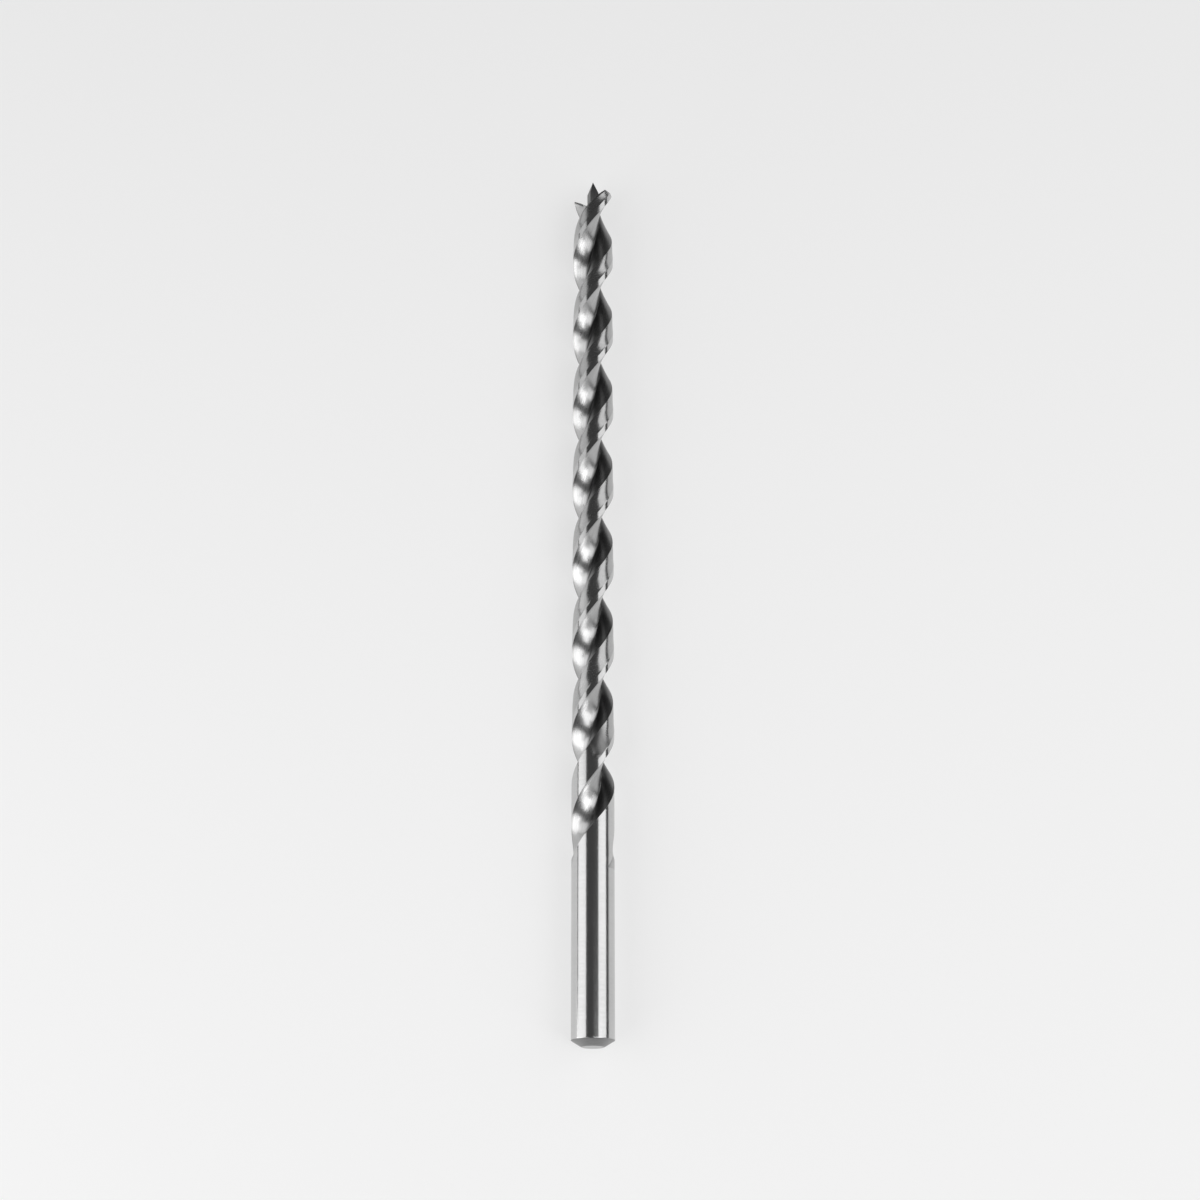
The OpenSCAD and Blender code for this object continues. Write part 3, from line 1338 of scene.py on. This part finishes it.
@dataclass
class Studio:
    """Table, lights, room and camera of the picture, in metres and degrees.

    Attributes:
        table_z: Height of the table top.
        table_size: Side of the square table.
        table_tint: sRGB colour of the table.
        table_glow: Light that comes through the table from below.
        room_grey: Brightness of the room round the lights.
        tilt: Angle of the camera's view from straight down.
        aim_y: Place on the axis that the camera looks at.
        camera_distance: Distance from there to the camera.
        focal_px: Focal length, in pixels of the photograph.
        axis_left_px: How far the axis lies left of the photograph's middle, in its pixels.
        softboxes: The lights.
    """

    table_z: float = -0.0035
    table_size: float = 4.0
    table_tint: str = "#9b9b9b"
    table_glow: float = 0.618
    room_grey: float = 0.07
    tilt: float = 18.41
    aim_y: float = 0.07409
    camera_distance: float = 0.3872
    focal_px: float = 2315.0
    axis_left_px: float = 7.05
    softboxes: tuple[Softbox, ...] = (
        Softbox("left_far_softbox", (-0.30, 0.032), (-0.30, 0.40), 0.02, 0.14, 1.4),
        Softbox("left_dim_softbox", (-0.30, 0.032), (-0.30, 0.40), 0.14, 0.22, 1.05),
        Softbox("left_end_softbox", (-0.30, 0.032), (-0.30, 0.40), 0.22, 0.40, 0.75),
        Softbox("left_mid_softbox", (-0.30, 0.0), (-0.30, 0.215), -0.02, 0.045, 2.6),
        Softbox("left_near_softbox", (-0.30, 0.0), (-0.23, 0.42), -0.28, -0.02, 2.3),
        Softbox("right_far_softbox", (0.30, 0.094), (0.30, 0.54), 0.02, 0.16, 1.4),
        Softbox("right_end_softbox", (0.30, 0.094), (0.30, 0.54), 0.16, 0.40, 1.15),
        Softbox("right_near_softbox", (0.34, 0.27), (0.045, 0.52), -0.15, 0.02, 2.8),
        Softbox("front_softbox", (0.42, 0.04), (0.20, 0.46), -0.28, -0.15, 2.4),
        Softbox("right_low_softbox", (0.40, 0.02), (0.36, 0.26), -0.28, 0.02, 0.40),
    )

    def build_table(self) -> bpy.types.Object:
        """Lays the pale table under the bit.

        Returns:
            The table.
        """
        bm = bmesh.new()
        bmesh.ops.create_grid(bm, x_segments=2, y_segments=2, size=self.table_size / 2)
        bmesh.ops.translate(bm, verts=bm.verts, vec=(0, 0, self.table_z))
        material = bpy.data.materials.new("pale_acrylic")
        material.use_nodes = True
        tree = material.node_tree
        tree.nodes.clear()
        # Opal acrylic, lit from below and with a soft sheen: even, pale and with little shadow.
        shader = add_node(
            tree,
            "ShaderNodeBsdfPrincipled",
            {
                "Base Color": linear(self.table_tint),
                "Specular IOR Level": 0.0,
                "Coat Weight": 1.0,
                "Coat Roughness": 0.55,
                "Coat IOR": 1.3,
                "Emission Color": linear(WHITE),
                "Emission Strength": self.table_glow,
            },
        )
        add_node(tree, "ShaderNodeOutputMaterial", None, {"Surface": shader.outputs["BSDF"]})
        table = new_piece("table", mesh_from("table", bm), [material])
        return table

    def build_room(self) -> None:
        """Gives the room round the lights its dim grey."""
        world = bpy.data.worlds.new("dim_room")
        world.use_nodes = True
        tree = world.node_tree
        tree.nodes.clear()
        grey = (self.room_grey, self.room_grey, self.room_grey, 1.0)
        air = add_node(tree, "ShaderNodeBackground", {"Color": grey, "Strength": 1.0})
        add_node(tree, "ShaderNodeOutputWorld", None, {"Surface": air.outputs["Background"]})
        bpy.context.scene.world = world

    def build_camera(self) -> bpy.types.Object:
        """Sets the camera where the photograph was taken from.

        Returns:
            The camera.
        """
        data = bpy.data.cameras.new("photo_camera")
        data.sensor_width = SENSOR_MM
        data.lens = SENSOR_MM * self.focal_px / PHOTO_PX
        data.shift_x = self.axis_left_px / PHOTO_PX
        data.clip_start = 0.01
        camera = bpy.data.objects.new("photo_camera", data)
        tilt = math.radians(self.tilt)
        camera.location = (
            0.0,
            self.aim_y - self.camera_distance * math.sin(tilt),
            self.camera_distance * math.cos(tilt),
        )
        camera.rotation_euler = (tilt, 0.0, 0.0)
        bpy.context.scene.collection.objects.link(camera)
        bpy.context.scene.camera = camera
        return camera

    def build(self) -> None:
        """Builds table, room, lights and camera, and sets how grey values are shown."""
        self.build_table()
        self.build_room()
        for softbox in self.softboxes:
            softbox.build()
        self.build_camera()
        view = bpy.context.scene.view_settings
        view.view_transform = "Standard"
        view.look = "None"


def main() -> None:
    """Builds the bit's pieces and the studio, in order."""
    logging.basicConfig(level=logging.INFO, format="%(message)s")
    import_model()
    for part in (FlutedBody(), Shank()):
        piece = part.build()
        part.dress(piece)
        LOG.info("%s: %d faces", piece.name, len(piece.data.polygons))
    Studio().build()
    LOG.info("table, lights and camera are set")


if __name__ == "__main__":
    main()
